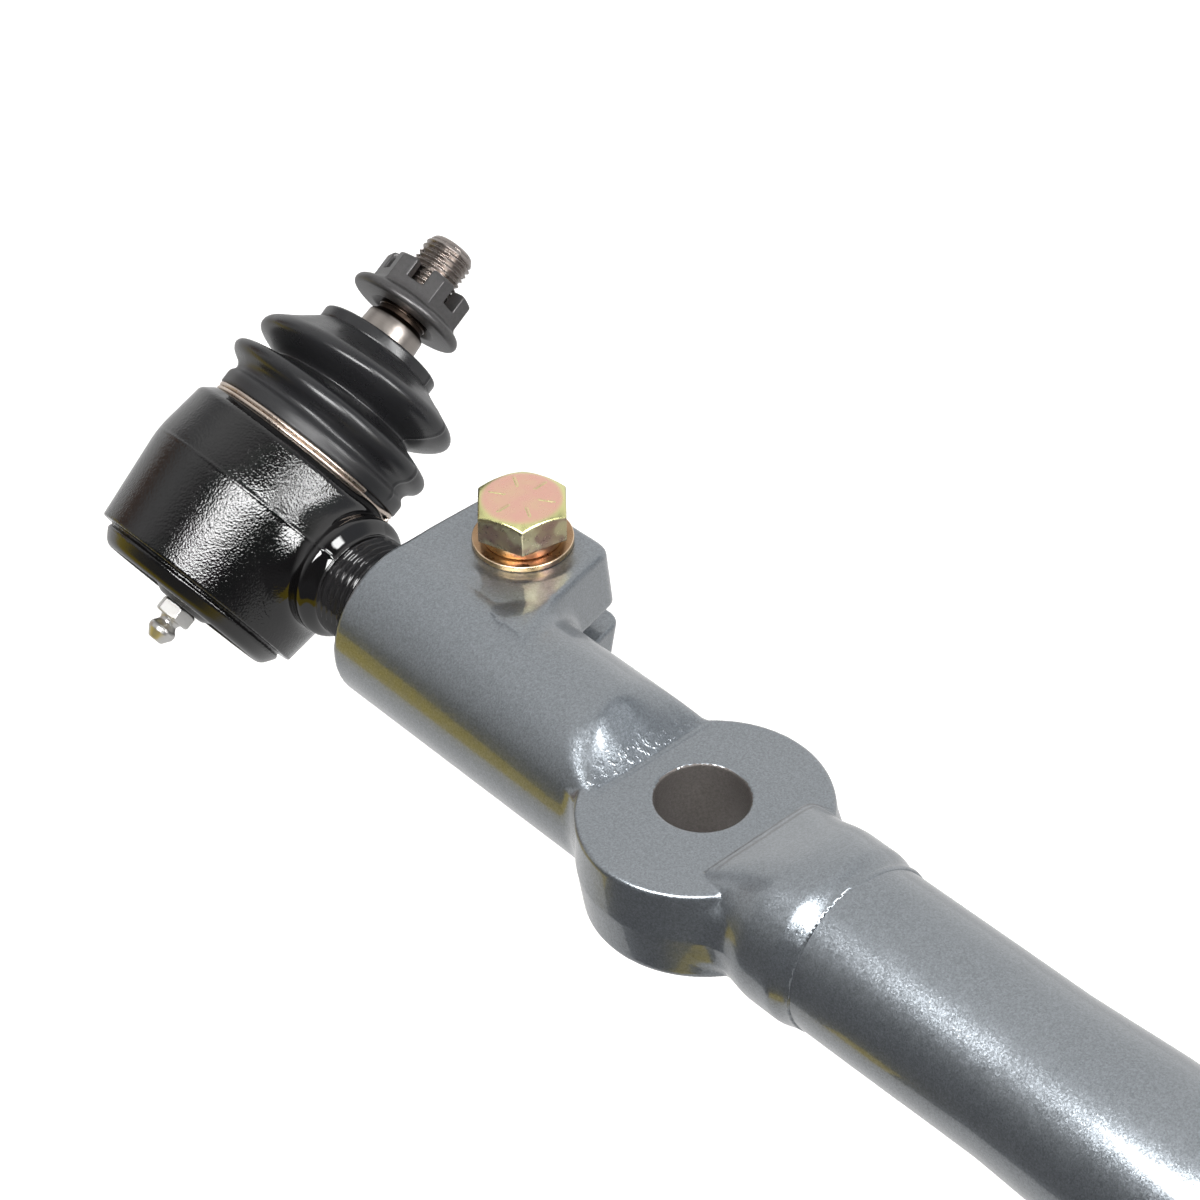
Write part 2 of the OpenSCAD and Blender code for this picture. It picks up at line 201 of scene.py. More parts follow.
def capped(profile, n=128, **more):
    """A lathe closed at both ends by a point on the axis."""
    verts, quads = lathe(profile, n, closed=False, **more)
    ends = []
    faces = quads.tolist()
    for row, flip in ((0, True), (len(profile) - 1, False)):
        c = len(verts) + len(ends)
        ends.append(verts[row * n:(row + 1) * n].mean(0))
        for j in range(n):
            a, b = row * n + j, row * n + (j + 1) % n
            faces.append([b, a, c] if flip else [a, b, c])
    return np.vstack([verts, ends]), faces


def mesh_object(name, verts, faces, mat):
    """An object in metres, linked to the scene, from points in mm."""
    me = bpy.data.meshes.new(name)
    me.from_pydata((np.asarray(verts, float) * MM).tolist(), [], faces)
    me.validate()
    me.update()
    me.materials.append(mat)
    ob = bpy.data.objects.new(name, me)
    bpy.context.scene.collection.objects.link(ob)
    return ob


def piece(name, shape, mat, body, nodes=(), crease=35, rot=np.eye(3), at=(0, 0, 0)):
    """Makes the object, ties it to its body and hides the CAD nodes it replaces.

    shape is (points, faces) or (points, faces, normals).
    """
    verts, faces = shape[:2]
    if not isinstance(faces, list):
        faces = faces.tolist()
    ob = mesh_object(name, placed(verts, rot, at), faces, mat)
    me = ob.data
    me.polygons.foreach_set("use_smooth", [True] * len(me.polygons))
    if len(shape) == 3:
        me.normals_split_custom_set_from_vertices(placed(shape[2], rot).tolist())
    else:
        me.set_sharp_from_angle(angle=math.radians(crease))
    if body:
        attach(ob, body)
    if nodes:
        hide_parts(*nodes)
    return ob


# ---- Materials ----

def fill(tree, socket, value):
    """Links value to the socket if it is a socket itself, and sets it if it is not."""
    if isinstance(value, bpy.types.NodeSocket):
        tree.links.new(value, socket)
    elif socket.type == "RGBA":
        socket.default_value = (*value, 1)
    else:
        socket.default_value = value


def add_node(tree, kind, ins=None, **attrs):
    node = tree.nodes.new(kind)
    for name, value in attrs.items():
        setattr(node, name, value)
    for key, value in (ins or {}).items():
        fill(tree, node.inputs[key], value)
    return node


def mix_colours(tree, share, a, b):
    return add_node(tree, "ShaderNodeMix", {0: share, 6: a, 7: b}, data_type="RGBA").outputs[2]


def smooth_range(tree, v, a, b, lo=0.0, hi=1.0):
    """lo where v is a, hi where v is b, and an even curve between."""
    ins = {"Value": v, "From Min": a, "From Max": b, "To Min": lo, "To Max": hi}
    return add_node(tree, "ShaderNodeMapRange", ins, interpolation_type="SMOOTHSTEP").outputs[0]


class Mat:
    """A node material. Values given by name go on the shader's own sockets."""

    def __init__(self, name, **values):
        self.mat = bpy.data.materials.new(name)
        self.mat.use_nodes = True
        self.tree = self.mat.node_tree
        self.shader = self.tree.nodes["Principled BSDF"]
        for key, value in values.items():
            self.set(key.replace("_", " "), value)
        at = self.add("ShaderNodeTexCoord")
        self.mm = self.vector("SCALE", at.outputs["Object"], {3: 1000.0}).outputs[0]
        self.normal = at.outputs["Normal"]

    def add(self, kind, ins=None, **attrs):
        return add_node(self.tree, kind, ins, **attrs)

    def set(self, socket, value):
        fill(self.tree, self.shader.inputs[socket], value)

    def math(self, op, a, b=0.0, clamp=False):
        return self.add("ShaderNodeMath", {0: a, 1: b}, operation=op, use_clamp=clamp).outputs[0]

    def vector(self, op, a, more=None):
        return self.add("ShaderNodeVectorMath", {0: a, **(more or {})}, operation=op)

    def times(self, first, *rest):
        """All of them multiplied."""
        for factor in rest:
            first = self.math("MULTIPLY", first, factor)
        return first

    def away(self, v, middle):
        """How far v is from the middle."""
        return self.math("ABSOLUTE", self.math("SUBTRACT", v, middle))

    def noise(self, scale, detail=2.0, rough=0.5, vector=None):
        ins = {"Vector": vector or self.mm, "Scale": scale, "Detail": detail, "Roughness": rough}
        return self.add("ShaderNodeTexNoise", ins).outputs["Fac"]

    def cells(self, scale, out="Distance"):
        return self.add("ShaderNodeTexVoronoi", {"Vector": self.mm, "Scale": scale}).outputs[out]

    def steps(self, v, a, b, lo=0.0, hi=1.0):
        return smooth_range(self.tree, v, a, b, lo, hi)

    def mix(self, share, a, b):
        return mix_colours(self.tree, share, a, b)

    def axis(self, direction, vector=None):
        """How far along a direction the point, or another vector, lies."""
        ins = {1: tuple(float(c) for c in direction)}
        return self.vector("DOT_PRODUCT", vector or self.mm, ins).outputs["Value"]

    def bump(self, height, mm, normal=None):
        ins = {"Height": height, "Distance": mm * MM, "Strength": 1.0}
        if normal is not None:
            ins["Normal"] = normal
        return self.add("ShaderNodeBump", ins).outputs[0]

    def flakes(self, scale, amount, normal):
        """The normal, tipped at random in each small cell, as metal flakes lie."""
        tip = self.vector("SUBTRACT", self.cells(scale, out="Color"), {1: (0.5, 0.5, 0.5)}).outputs[0]
        tip = self.vector("SCALE", tip, {3: amount}).outputs[0]
        tipped = self.vector("ADD", normal, {1: tip}).outputs[0]
        return self.vector("NORMALIZE", tipped).outputs[0]


def bar_paint():
    m = Mat("bar_paint", Metallic=0.88, Coat_Weight=1.0, Coat_Roughness=0.075, Coat_IOR=1.6)
    along, across, high = m.axis((1, 0, 0)), m.axis((0, 1, 0)), m.axis((0, 0, 1))

    # Bumps: pits and a hem at the foot of the clamp's slope, and a scar beside the ears
    pits = m.times(m.steps(along, -21.5, -17.5), m.steps(along, -15.2, -16), m.steps(high, 10.8, 11.4),
                   m.steps(m.noise(0.8, 2.0, 0.5), 0.5, 0.72, 0.0, 0.22))
    hem = m.times(m.steps(m.away(along, -15.4), 0.7, 0.0, 0.0, 1.2), m.steps(high, 10.1, 10.5),
                  m.steps(m.away(across, 0.0), 18, 15), 0.3)
    off_scar = m.vector("DISTANCE", m.mm, {1: (-52.0, 13.0, 15.0)}).outputs["Value"]
    scar = m.times(m.steps(off_scar, 7.5, 3.0, 0.0, 0.5), m.noise(0.5, 3.0, 0.6))
    marks = m.math("ADD", scar, m.math("ADD", pits, hem))
    skin = m.bump(marks, 0.35, m.bump(m.noise(0.22, 1.0), 0.02))
    m.set("Coat Normal", skin)
    m.set("Normal", m.flakes(3.6, 0.1, skin))

    # Colour: bright grit, and two lines of painted shade along the crease where the neck meets the eye's
    # flat
    tone = m.mix(m.noise(0.05, 3.0), (0.132, 0.148, 0.162), (0.158, 0.173, 0.186))
    grit = m.math("ADD", m.times(m.cells(3.4, out="Color"), 0.2), m.times(m.noise(1.7, 3.0, 0.8), 0.5))
    tone = m.mix(m.math("SUBTRACT", grit, 0.23, True), tone, (0.5, 0.54, 0.58))
    foot = m.math("ADD", along, m.times(m.noise(0.35, 2.0), 0.8))
    foot = m.math("SUBTRACT", foot, m.steps(across, 14, 18, 0.0, 5.0))
    first = m.steps(m.away(foot, 17.0), 0.9, 0.2)
    second = m.steps(m.away(foot, 18.8), 0.6, 0.2, 0.0, 0.8)
    crease_shade = m.times(m.math("MAXIMUM", first, second), m.steps(m.away(across, 1.5), 17, 12),
                   m.steps(high, 10.0, 10.5), m.steps(high, 14, 12), 0.75)
    m.set("Base Color", m.mix(crease_shade, tone, (0.045, 0.045, 0.047)))
    m.set("Roughness", m.steps(m.noise(0.4, 2.0), 0.3, 0.7, 0.29, 0.34))
    return m.mat


def bore_metal():
    m = Mat("eye_bore_metal", Metallic=0.6, Specular_IOR_Level=0.3)
    m.set("Base Color", m.mix(m.noise(1.6, 5.0, 0.75), (0.04, 0.035, 0.033), (0.17, 0.155, 0.145)))
    m.set("Roughness", m.steps(m.noise(3.0, 3.0), 0.3, 0.7, 0.45, 0.6))
    m.set("Normal", m.bump(m.noise(3.0, 4.0, 0.7), 0.08))
    return m.mat


def socket_paint():
    m = Mat("socket_paint", Metallic=0.0, IOR=1.6)
    along = m.axis(SOCKET[:, 2])
    m.set("Base Color", m.mix(m.noise(0.2, 3.0), (0.0018, 0.0018, 0.002), (0.004, 0.0036, 0.0036)))
    m.set("Roughness", m.steps(along, -25.3, -23.5, 0.24, 0.05))

    # Orange peel, which fades towards the shoulder, the lip and the shank, and the forging's parting line
    grain = m.math("ADD", m.noise(2.1, 3.0, 0.5), m.times(m.cells(1.7), 0.6))
    fade = m.times(m.steps(along, 13.6, 14.8, 1.0, 0.1), m.steps(along, -25.2, -23.6, 0.1, 1.0),
                   m.steps(m.axis((1, 0, 0)), -122.0, -118.5, 1.0, 0.03))
    off_line = m.times(m.away(along, PARTING_H), 2.6)
    ridge = m.math("DIVIDE", 1.7, m.math("ADD", 1.0, m.math("POWER", off_line, 3.0)))
    m.set("Normal", m.bump(m.math("ADD", m.times(grain, fade), ridge), 0.078))
    return m.mat


def plain_black(name, rough, bump_mm=0.02):
    m = Mat(name, Metallic=0.0, Roughness=rough)
    m.set("Base Color", m.mix(m.noise(0.4, 3.0), (0.008, 0.008, 0.009), (0.018, 0.017, 0.017)))
    m.set("Normal", m.bump(m.noise(0.6, 2.0), bump_mm))
    return m.mat


def boot_rubber():
    m = Mat("boot_rubber", Metallic=0.0, Specular_IOR_Level=0.5)
    dust = m.steps(m.noise(1.6, 6.0, 0.7), 0.62, 0.8)
    m.set("Base Color", m.mix(dust, (0.011, 0.011, 0.012), (0.05, 0.05, 0.05)))
    low = m.steps(m.axis(SOCKET[:, 2]), 24.5, 22.5, 0.0, 0.14)
    m.set("Roughness", m.math("ADD", m.steps(m.noise(0.15, 3.0), 0.3, 0.7, 0.24, 0.34), low))
    m.set("Normal", m.bump(m.noise(2.5, 4.0), 0.012))
    return m.mat


def turned_steel(name, axis, dark, light, rough, ring, bump_mm):
    """Steel with fine rings round an axis, and painted shade in the groove under the nut."""
    m = Mat(name, Metallic=1.0)
    along = m.axis(axis)
    rings = m.noise(ring, 3.0, 0.6, vector=m.add("ShaderNodeCombineXYZ", {0: along}).outputs[0])
    share = m.math("ADD", m.times(rings, 0.6), m.times(m.noise(0.5, 4.0), 0.4))
    up = m.math("SUBTRACT", along, float(BALL @ axis))
    # painted shade: darker in the groove just under the nut
    shade_and_stain = m.times(m.steps(up, 53.9, 54.5), m.steps(up, 60, 58))
    m.set("Base Color", m.mix(shade_and_stain, m.mix(share, dark, light), (0.05, 0.036, 0.028)))
    m.set("Roughness", m.steps(m.noise(0.5, 2.0), 0.3, 0.7, rough, rough + 0.06))
    m.set("Normal", m.bump(rings, bump_mm))
    return m.mat


def phosphate():
    m = Mat("nut_phosphate", Metallic=0.7, Roughness=0.37)
    m.set("Base Color", m.mix(m.noise(1.2, 5.0, 0.7), (0.056, 0.054, 0.054), (0.115, 0.112, 0.112)))
    m.set("Normal", m.bump(m.noise(5.0, 3.0), 0.02))
    return m.mat


def yellow_zinc(name, top, chamfer, side):
    """Zinc whose colour depends on how far a face looks up: partly its iridescent tint, partly painted
    light.
    """
    m = Mat(name, Metallic=1.0)
    up = m.axis((0, 0, 1), m.normal)
    # darker random stains on the side faces
    shade_and_stain = m.times(m.steps(m.noise(0.17, 2.0), 0.44, 0.56, 0.0, 0.85), m.steps(up, 0.25, 0.1))
    side = m.mix(shade_and_stain, side, (0.27, 0.16, 0.14))
    # painted light by facing: the bolt head's top and chamfer lit and its sides shaded, the washers' rims
    # lit and their tops in painted shade under the head
    tone = m.mix(m.steps(up, 0.9, 0.985), m.mix(m.steps(up, 0.25, 0.6), side, chamfer), top)
    m.set("Base Color", m.mix(m.steps(m.noise(0.2, 2.0), 0.35, 0.8, 0.0, 0.25), tone, chamfer))
    m.set("Roughness", m.steps(m.noise(0.8, 3.0), 0.3, 0.7, 0.26, 0.34))
    m.set("Normal", m.bump(m.noise(0.5, 2.0), 0.006))
    return m.mat


def plated(name, colour, rough, bump_mm=0.012):
    m = Mat(name, Metallic=1.0)
    m.set("Base Color", m.mix(m.noise(0.9, 4.0), tuple(c * 0.86 for c in colour), colour))
    m.set("Roughness", m.steps(m.noise(1.5, 3.0), 0.3, 0.7, rough, rough + 0.1))
    m.set("Normal", m.bump(m.noise(3.0, 3.0), bump_mm))
    return m.mat


def nylon():
    m = Mat("seat_plastic", Metallic=0.0, Roughness=0.5)
    m.set("Base Color", m.mix(m.noise(0.3, 3.0), (0.66, 0.62, 0.52), (0.76, 0.73, 0.65)))
    m.set("Normal", m.bump(m.noise(3.0, 2.0), 0.01))
    return m.mat


PAINT = bar_paint()
BORE = bore_metal()
BLACK = socket_paint()
GLOSS = plain_black("shank_paint", 0.08)
LID = plain_black("cover_paint", 0.27, 0.03)
RUBBER = boot_rubber()
TAPER = turned_steel("stud_steel", STUD[:, 2], (0.27, 0.24, 0.22), (0.40, 0.365, 0.335), 0.31, 3.0, 0.003)
THREAD = turned_steel("thread_steel", STUD[:, 2], (0.24, 0.21, 0.195), (0.36, 0.325, 0.30), 0.24, 1.0, 0.001)
NUT = phosphate()
# Colours for tops, chamfers and sides: their differences in lightness are painted light and painted shade
HEAD = yellow_zinc("bolt_zinc", (0.80, 0.47, 0.38), (0.74, 0.72, 0.34), (0.47, 0.41, 0.27))
WASHER = yellow_zinc("washer_zinc", (0.36, 0.22, 0.12), (0.86, 0.66, 0.46), (0.48, 0.34, 0.17))
ZINC = plated("bright_zinc", (0.66, 0.65, 0.63), 0.3, 0.004)
WIRE = plated("ring_wire", (0.66, 0.56, 0.48), 0.26, 0.0005)
SPRING = plated("spring_steel", (0.42, 0.43, 0.44), 0.3)
NYLON = nylon()


# ---- Bar: forging, weld, tube ----

EYE_HALF = 10.6      # half the eye's thickness
EYE_BORE = 10        # radius
CLAMP_HALF = 19.5    # half the clamp's thickness at its ears
CLAMP_BORE = 12.78   # radius
SLIT_HALF = 3.2      # half the slit's width
low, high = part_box("clamp_bolt")
BOLT = np.round(np.array((low + high) / 2) / MM, 2)[:2]   # X and Y of the clamp bolt


def from_bolt(x, y):
    return np.sqrt((x - BOLT[0]) ** 2 + (y - BOLT[1]) ** 2)


def clamp(x, y, z):
    """The barrel, cut back to the eye's flats, and the two ears."""
    az = np.abs(z)
    barrel = np.sqrt((y - 0.2) ** 2 + z * z) - 19.9
    steep = 0.78 - 0.42 * smooth((np.abs(y + 1) - 3) / 15)
    wall = (az - EYE_HALF + steep * (x + 15.6)) * 0.8
    body = smax(barrel, wall, 1.7)
    ear_edge = np.where(z > 0, 33.7 + 0.16 * (CLAMP_HALF - z), 37.8 - 0.28 * np.maximum(-SLIT_HALF - z, 0))
    washer_seat = 0.4 * smooth((15.6 - from_bolt(x, y)) / 4)
    ear_face = az - 19.75 - 0.2 * smooth((y - 3) / 8) + 0.015 * np.maximum(y - 14, 0) + washer_seat
    ear = smax(0.97 * (x + 60.1) + 0.2425 * (y - 17.3), y - ear_edge, 3.5)
    ear = np.maximum(smax(ear, ear_face, 1.6), -y)
    body = smin(body, ear, 0.02 + 4 * smooth((x + 68) / 9))
    return smax(body, -97.05 - x - 0.01 * y, 1.2)


def eye_disc(x, y, z):
    """A disc, a little narrower along the bar, whose side leans."""
    az = np.abs(z)
    r = np.sqrt(((x - 3.5 + 0.14 * z) / 0.92) ** 2 + (y + 1.3) ** 2)
    return smax(r - 28.7 + 0.07 * az, az - EYE_HALF, 1.4)


def neck(x, y, z):
    """Rises from the flat's foot to the weld."""
    r = 19.4 + 1.2 * smooth((x - 24) / 9) - 1.15 * smooth((x - 39.8) / 5.4)
    rise = 0.9 * smooth((x - 15.9) / 0.9) + 0.46 * (x - 16.4)
    side = np.sqrt((y + 0.6) ** 2 + z * z) - r
    return np.maximum(smax(side, (np.abs(z) - EYE_HALF - rise) * 0.9, 3.2), x - 45.3)


def forging(x, y, z):
    """The clamp, the eye and the neck in one, with their bores and the slit."""
    az = np.abs(z)
    body = clamp(x, y, z)
    body = smin(body, eye_disc(x, y, z), 0.3 + 4 * smooth((10.4 - az) / 2))
    body = smin(body, neck(x, y, z), 0.5 + 4 * smooth((10.4 - az) / 5))
    body = smax(body, EYE_BORE - np.sqrt(x * x + y * y), 1.0)
    shank_hole = np.minimum(CLAMP_BORE - np.sqrt(y * y + z * z), -45 - x)
    body = smax(body, shank_hole, 0.9)
    slit = np.maximum(np.maximum(az - SLIT_HALF, -y), x + 56.5)
    body = smax(body, -slit, 0.9)
    return smax(body, 6.6 - from_bolt(x, y), 0.6)


forged = piece("clamp_and_eye", surface(forging, (-99, -31, -22), (47, 39, 22), 0.75), PAINT, "bar",
               ["clamp_eye_forging"])
forged.data.materials.append(BORE)
for face in forged.data.polygons:
    at = face.center / MM
    if math.hypot(at.x, at.y) < EYE_BORE + 0.25 and abs(at.z) < EYE_HALF - 0.3:
        face.material_index = 1


def ripples(r, h, th):
    """The uneven edge of the weld."""
    beat = np.sin(23 * th + 1.6 * np.sin(3 * th)) * 0.5 + 0.5 * np.sin(17 * th + 2)
    return r + 0.02 * beat * smooth((r - 18.9) / 0.5) * smooth((h - 45) / 0.3)


bead = soften([(19.3, 44.8, 0), (19.38, 45.1, 0.2), (19.38, 45.6, 0.3), (19.2, 46.2, 0.2), (18.9, 46.3, 0),
               (17, 45.9, 0), (17, 44.8, 0)])
piece("weld", lathe(bead, 360, shape=ripples), PAINT, "bar", ["weld_bead"], rot=ALONG_X)

TUBE_END = round(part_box("bar_tube")[1].x / MM, 2)
outside = [(19.25, 44.2), (19.25, 50), (19.25, 60), (19.22, 70), (19.18, 80)]
outside += [(19.15 + 1.15 * (0.8 * t + 0.2 * smooth(t)), 92 + 25 * t) for t in np.linspace(0, 1, 15)]
outside += [(20.3, 135), (20.3, TUBE_END - 0.8), (19.9, TUBE_END - 0.1), (19.4, TUBE_END)]
inside = [(16.0, TUBE_END), (15.6, TUBE_END - 0.3), (15.54, TUBE_END - 1.2), (15.54, 116), (14.29, 94),
          (14.29, 44.2)]


def sag(verts, h):
    """The tube sits a little off the forging's axis at the weld."""
    verts[:, :, 1] -= (0.45 * (1 - smooth((h - 45) / 50)))[:, None]
    return verts


piece("tube", lathe(outside + inside, 192, bend=sag), PAINT, "bar", ["bar_tube"], rot=ALONG_X)


# ---- Clamp bolt ----

def hexagon(x, y, af, at=0.0):
    """How far outside a hexagonal bar, af across its flats and turned by at degrees."""
    d = -1e9
    for i in range(3):
        t = math.radians(30 + 60 * i + at)
        d = np.maximum(d, np.abs(x * math.cos(t) + y * math.sin(t)))
    return d - af / 2


def bolt_head(x, y, z):
    """A head with its chamfer, its washer face and six raised dashes."""
    rr = np.sqrt(x * x + y * y)
    h = smax(hexagon(x, y, 19.3), (rr - 8.5) * 0.5 + (z - 8.1) * 0.866, 0.5)
    h = smax(smax(h, z - 8.1, 0.8), 0.05 - z, 0.5)
    h = smin(h, np.maximum(rr - 8.95, np.maximum(-z, z - 1)), 0.3)
    for i in range(6):
        t = math.radians(60 * i + 14)
        u, v = x * math.cos(t) + y * math.sin(t), -x * math.sin(t) + y * math.cos(t)
        dash = smax(smax(np.abs(u - 5.6) - 1.8, np.abs(v) - 0.2, 0.3), np.abs(z - 8.0) - 0.26, 0.2)
        h = smin(h, dash, 0.25)
    return h


def threaded(r, depth, pitch, h0, h1, start=0.0):
    """A shape for lathe: a thread cut into the rows of radius r, from height h0 to h1."""
    def shape(rad, h, th):
        g = np.mod(h / pitch - th / TAU + start, 1)
        cut = np.clip((0.5 - np.abs(g - 0.5)) * 2.5 - 0.12, 0, 1) * depth
        cut = cut * smooth((h - h0) / pitch) * smooth((h1 - h) / pitch)
        return np.where(rad >= r - 1e-6, rad - cut, rad)
    return shape


WASHER_T = 1.5     # thickness of a flat washer
LOCK_T = 2.6       # thickness of the spring washer
NUT_H = 11
BOLT_R = 6.35
HEAD_AT = (*BOLT, CLAMP_HALF + WASHER_T + LOCK_T)
piece("bolt_head", surface(bolt_head, (-12, -12, -1), (12, 12, 9), 0.25), HEAD, "bar",
      rot=turn("Z", -41.4), at=HEAD_AT)
rod = [(4.9, -59.6), (5.3, -59.5), (BOLT_R, -58.4)]
rod += [(BOLT_R, h) for h in np.arange(-59.2, -30, 0.16)[6:]]
rod += [(BOLT_R, -29.8), (BOLT_R, 0.3), (6.0, 0.5)]
helix = threaded(BOLT_R, 0.78, 1.954, -60, -30)
piece("bolt_shank", capped(rod, 72, shape=helix), HEAD, "bar", ["clamp_bolt"], at=HEAD_AT)


def washer(z):
    corners = [(11.3, 0, 0.35), (11.3, WASHER_T, 0.35), (6.65, WASHER_T, 0.35), (6.65, 0, 0.35)]
    verts, quads = lathe(soften(corners), 128)
    return placed(verts, at=(*BOLT, z)), quads


upper, lower = washer(CLAMP_HALF), washer(-CLAMP_HALF - WASHER_T)
both = (np.vstack([upper[0], lower[0]]), np.vstack([upper[1], lower[1] + len(upper[0])]))
piece("flat_washers", both, WASHER, "bar", ["clamp_washers"])


def spring_washer(x, y, z):
    """One flat coil with its slanting split."""
    rr = np.sqrt(x * x + y * y)
    half = LOCK_T / 2
    coil = smax(np.abs(rr - 7.72) - 1.18, np.abs(z - half) - half, 0.5)
    u, v = 0.5 * x + 0.866 * y, -0.866 * x + 0.5 * y
    split = np.maximum(np.abs(v + 0.5 * (z - half)) - 0.5, -u)
    return smax(coil, -split, 0.3)


piece("spring_washer", surface(spring_washer, (-10, -10, -1), (10, 10, 4), 0.3), WASHER, "bar",
      ["lock_washer"], at=(*BOLT, CLAMP_HALF + WASHER_T))


def plain_nut(x, y, z):
    rr = np.sqrt(x * x + y * y)
    ends = np.abs(z - NUT_H / 2) - NUT_H / 2
    h = smax(hexagon(x, y, 19.05), (rr - 9.4) * 0.5 + ends * 0.866, 0.5)
    h = smax(h, ends, 0.5)
    return smax(h, 6.42 - rr, 0.6)


piece("clamp_nut_body", surface(plain_nut, (-12, -12, -1), (12, 12, 12), 0.35), WASHER, "bar", ["clamp_nut"],
      at=(*BOLT, -CLAMP_HALF - WASHER_T - NUT_H))


# ---- Socket ----

SOCKET_R = 29.8        # at the parting line


def housing(x, y, z):
    """The socket's body, rolled lip, arm and neck, hollowed for the seats."""
    rr = np.sqrt(x * x + y * y)
    lower = (rr - SOCKET_R - 0.115 * (z - PARTING_H)) * 0.993
    upper = (rr - SOCKET_R + 0.1176 * (z - PARTING_H)) * 0.993
    body = smax(lower, upper, 0.8)
    body = smax(body, (rr - 28) * 0.614 + (z - 14.1) * 0.789, 0.6)
    body = smax(body, z - 16.1, 0.5)
    body = smax(body, -22.9 - z, 0.6)
    lip = smax((rr - 24.9) * 0.829 - (z + 23.9) * 0.559, -27.7 - z, 1.4)
    lip = smax(lip, (rr - 25.2 + 0.9 * (z + 24.6)) * 0.743, 0.6)
    lip = np.maximum(lip, z + 21)
    body = smin(body, lip, 0.9)
    ra = np.sqrt(y * y + z * z)
    arm_r = 15.5 - 0.8 * smooth((x - 25) / 5.5) - 2.1 * smooth((x - 33.8) / 3.2)
    arm_r = arm_r + 0.35 * np.exp(-((x - 33) / 1.4) ** 2)
    arm = smax(ra - arm_r, x - 37.4, 0.4)
    arm = np.maximum(arm, 10 - x)
    body = smin(body, arm, 3.5)
    body = smin(body, np.maximum(rr - 21.3, np.maximum(z - 19.6, -z)), 0.5)
    cavity = np.where(z < -24.1, rr - 21.7, np.where(z < 13, rr - 19.6, rr - 16.4))
    cavity = np.where(z < -26.6, rr - 20.2, cavity)
    return smax(body, -cavity, 0.4)


piece("socket_body", surface(housing, (-32, -32, -29), (40, 32, 21), 0.55), BLACK, "socket",
      rot=SOCKET, at=BALL)

SHANK_R = 12.7
THREAD_FROM = 34.5     # where the shank's thread begins, from the ball's centre
shank = [(SHANK_R, THREAD_FROM), (SHANK_R, THREAD_FROM + 0.6)]
shank += [(SHANK_R, h) for h in np.arange(THREAD_FROM + 1.2, THREAD_FROM + 27, 0.15)]
shank += [(SHANK_R, 62.5), (SHANK_R, 96.8), (SHANK_R - 1.5, 98.3)]
helix = threaded(SHANK_R, 0.95, 1.814, THREAD_FROM + 1.5, 62, 0.3)
piece("shank_thread", capped(shank, 128, shape=helix), GLOSS, "socket", ["socket_housing"],
      rot=ALONG_X, at=BALL)

cover = soften([(3.05, -28.5, 0.2), (5.9, -28.5, 0.8), (8.6, -26.9, 1.5), (13, -26.2, 3), (18, -26.6, 1.5),
                (21.6, -26.6, 0.3), (21.6, -24.15, 0.3), (3.05, -24.15, 0.2)])
piece("cover", lathe(cover, 128), LID, "socket", ["cover_plate"], rot=SOCKET, at=BALL)


def sweep(path, r, n=20):
    """A round wire along a path of points, a little thinner at its ends."""
    path = np.asarray(path, float)
    t = np.gradient(path, axis=0)
    t /= np.linalg.norm(t, axis=1)[:, None]
    side = np.cross(t, (0, 0, 1.0))
    side /= np.linalg.norm(side, axis=1)[:, None]
    up = np.cross(side, t)
    a = np.arange(n) / n * TAU
    grow = np.ones(len(path))
    grow[0] = grow[-1] = 0.9
    around = side[:, None] * np.cos(a)[None, :, None] + up[:, None] * np.sin(a)[None, :, None]
    v = path[:, None] + r * grow[:, None, None] * around
    m = len(path)
    i, j = np.arange(m - 1)[:, None], np.arange(n)[None, :]
    j2 = (j + 1) % n
    q = np.stack([i * n + j, (i + 1) * n + j, (i + 1) * n + j2, i * n + j2], 2).reshape(-1, 4).tolist()
    verts = np.vstack([v.reshape(-1, 3), path[0] - t[0] * 0.2, path[-1] + t[-1] * 0.2])
    for j in range(n):
        q.append([j, (j + 1) % n, m * n])
        q.append([(m - 1) * n + (j + 1) % n, (m - 1) * n + j, m * n + 1])
    return verts, q


# Not quite two turns of spring wire round the boot's foot, the second above the first
angle = np.linspace(-680, 0, 420)
level = 16.57 + 1.13 * smooth((angle + 350) / 30)
angle = np.radians(angle - 9)
wire = np.stack([24.6 * np.cos(angle), 24.6 * np.sin(angle), level], 1)
piece("foot_wire", sweep(wire, 0.55), WIRE, "socket", ["boot_wire_ring"], rot=SOCKET, at=BALL)


NIPPLE = SOCKET @ turn("X", 180)
NIPPLE_AT = BALL + SOCKET @ np.array([0, 0, -28.5])


def nipple(x, y, z):
    """A hexagon, a waist and a round head, with the passage through them."""
    rr = np.sqrt(x * x + y * y)
    h = smax(hexagon(x, y, 8.3, -18), (rr - 4.1) * 0.45 + (np.abs(z - 1.8) - 1.8) * 0.89, 0.3)
    h = smax(h, np.abs(z - 1.8) - 1.8, 0.3)
    heights = [3.2, 4.2, 4.8, 5.4, 6.1, 6.7, 7.6, 9.5, 9.7]
    head_r = np.interp(z, heights, [2.8, 2.4, 2.3, 2.65, 3.25, 3.42, 3.3, 1.9, 1.65])
    head = smax(smax((rr - head_r) * 0.8, z - 9.7, 0.3), 2 - z, 0.2)
    h = smin(h, head, 0.4)
    h = smin(h, np.maximum(rr - 3, np.abs(z + 2) - 2.2), 0.2)
    return smax(h, 0.85 - rr, 0.2)


piece("grease_nipple", surface(nipple, (-6, -6, -5.5), (6, 6, 11), 0.2), ZINC, "socket", ["grease_fitting"],
      rot=NIPPLE, at=NIPPLE_AT)

